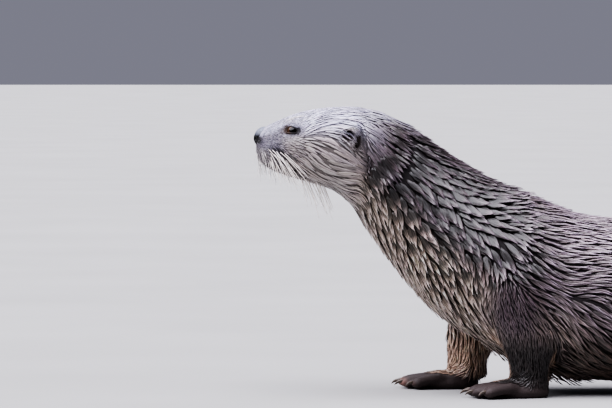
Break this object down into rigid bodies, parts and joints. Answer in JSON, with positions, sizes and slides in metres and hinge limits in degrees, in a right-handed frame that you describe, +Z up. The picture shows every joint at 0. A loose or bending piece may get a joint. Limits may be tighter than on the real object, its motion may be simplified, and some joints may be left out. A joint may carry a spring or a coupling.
{
  "type": "river otter",
  "caption": "Life-size river otter standing with its neck raised, its webbed feet flat and its tapering tail laid along the floor.",
  "frame": {"origin": "middle of the bottom of the otter's box, on the floor", "axes": "+Z up, -Y towards the nose, +X towards the otter's left side"},
  "size_m": [0.2356, 1.0612, 0.2724],
  "materials": {
    "coat": "wet fur in pointed locks",
    "foot_skin": "damp short-haired skin",
    "nose_pad": "wet black pad",
    "eye": "glossy dark brown",
    "claw": "horn"
  },
  "bodies": {
    "root": {"head": "coat", "lower_jaw": "coat", "nose": "nose_pad", "eye_left": "eye", "ear_left": "coat", "eye_right": "eye", "ear_right": "coat", "neck": "coat", "chest": "coat", "belly": "coat", "rump": "coat", "tail_base": "coat", "tail_middle": "coat", "tail_tip": "coat", "upper_arm_left": "coat", "forearm_left": "coat", "fore_foot_left": "foot_skin", "thigh_left": "coat", "shank_left": "coat", "hind_foot_left": "foot_skin", "fore_claw_left_1": "claw", "fore_claw_left_2": "claw", "fore_claw_left_3": "claw", "fore_claw_left_4": "claw", "fore_claw_left_5": "claw", "hind_claw_left_1": "claw", "hind_claw_left_2": "claw", "hind_claw_left_3": "claw", "hind_claw_left_4": "claw", "hind_claw_left_5": "claw", "upper_arm_right": "coat", "forearm_right": "coat", "fore_foot_right": "foot_skin", "thigh_right": "coat", "shank_right": "coat", "hind_foot_right": "foot_skin", "fore_claw_right_1": "claw", "fore_claw_right_2": "claw", "fore_claw_right_3": "claw", "fore_claw_right_4": "claw", "fore_claw_right_5": "claw", "hind_claw_right_1": "claw", "hind_claw_right_2": "claw", "hind_claw_right_3": "claw", "hind_claw_right_4": "claw", "hind_claw_right_5": "claw"}
  },
  "joints": []
}
